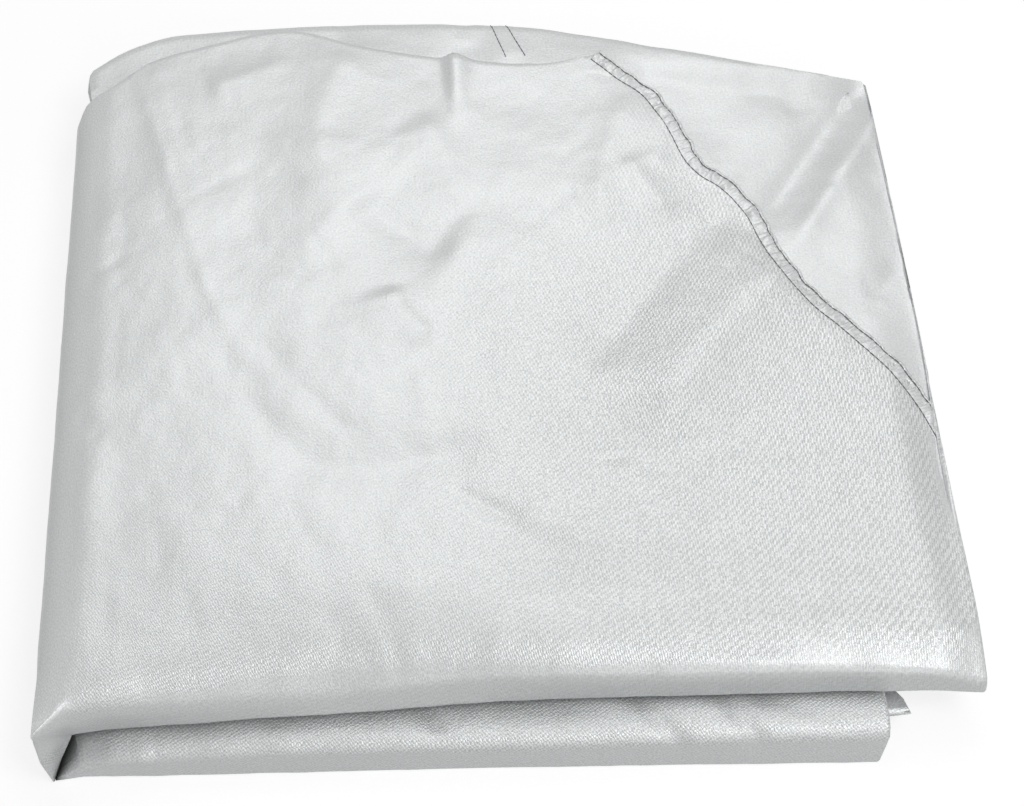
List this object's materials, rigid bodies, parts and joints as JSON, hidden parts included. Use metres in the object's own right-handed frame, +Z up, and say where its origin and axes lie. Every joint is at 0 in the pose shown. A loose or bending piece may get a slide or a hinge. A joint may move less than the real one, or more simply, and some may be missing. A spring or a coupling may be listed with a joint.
{
  "type": "car roof cover",
  "caption": "Fabric car roof cover, folded up for storage into a flat square bundle with a hemmed edge lying across its top.",
  "frame": {"origin": "middle of the face that rests, on the surface that the bundle lies on", "axes": "+Z up, +Y from the front folds to the back edges, +X from the spine fold to the open right end"},
  "size_m": [0.4189, 0.4282, 0.0451],
  "materials": {
    "cloth": "satin silver-coated twill"
  },
  "bodies": {
    "root": {"cover_cloth": "cloth"}
  },
  "joints": []
}
